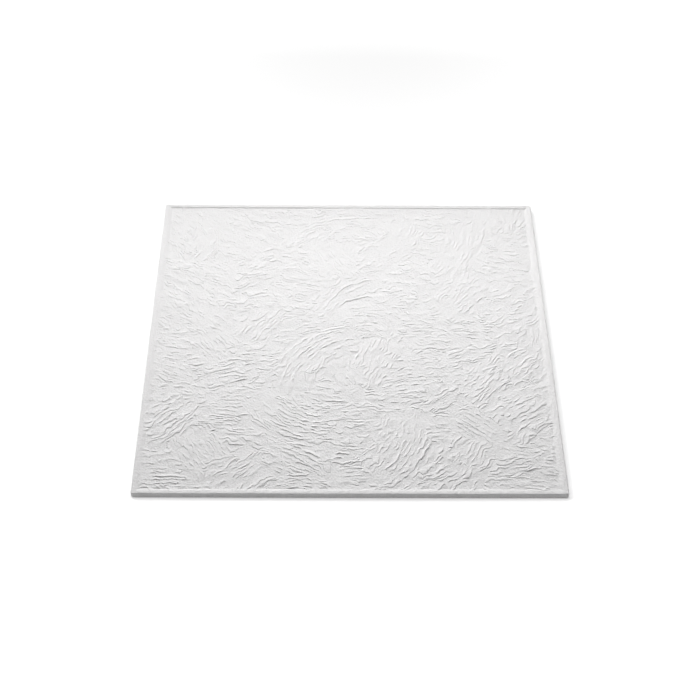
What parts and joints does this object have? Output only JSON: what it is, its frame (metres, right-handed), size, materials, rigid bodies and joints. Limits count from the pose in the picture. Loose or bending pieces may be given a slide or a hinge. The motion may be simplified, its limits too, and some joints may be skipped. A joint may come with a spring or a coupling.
{
  "type": "polystyrene ceiling tile",
  "caption": "Square foam ceiling tile with a flat glue-on back, a low rim and a field of brushed-plaster ridges moulded into its face.",
  "frame": {"origin": "centre of the flat back face", "axes": "+Z out of the back towards the face with the relief, +Y towards the far edge in the picture, +X to its right"},
  "size_m": [0.5, 0.5, 0.007],
  "materials": {
    "expanded_polystyrene": "matt moulded foam skin with fine bead grain"
  },
  "bodies": {
    "root": {"tile": "expanded_polystyrene"}
  },
  "joints": []
}
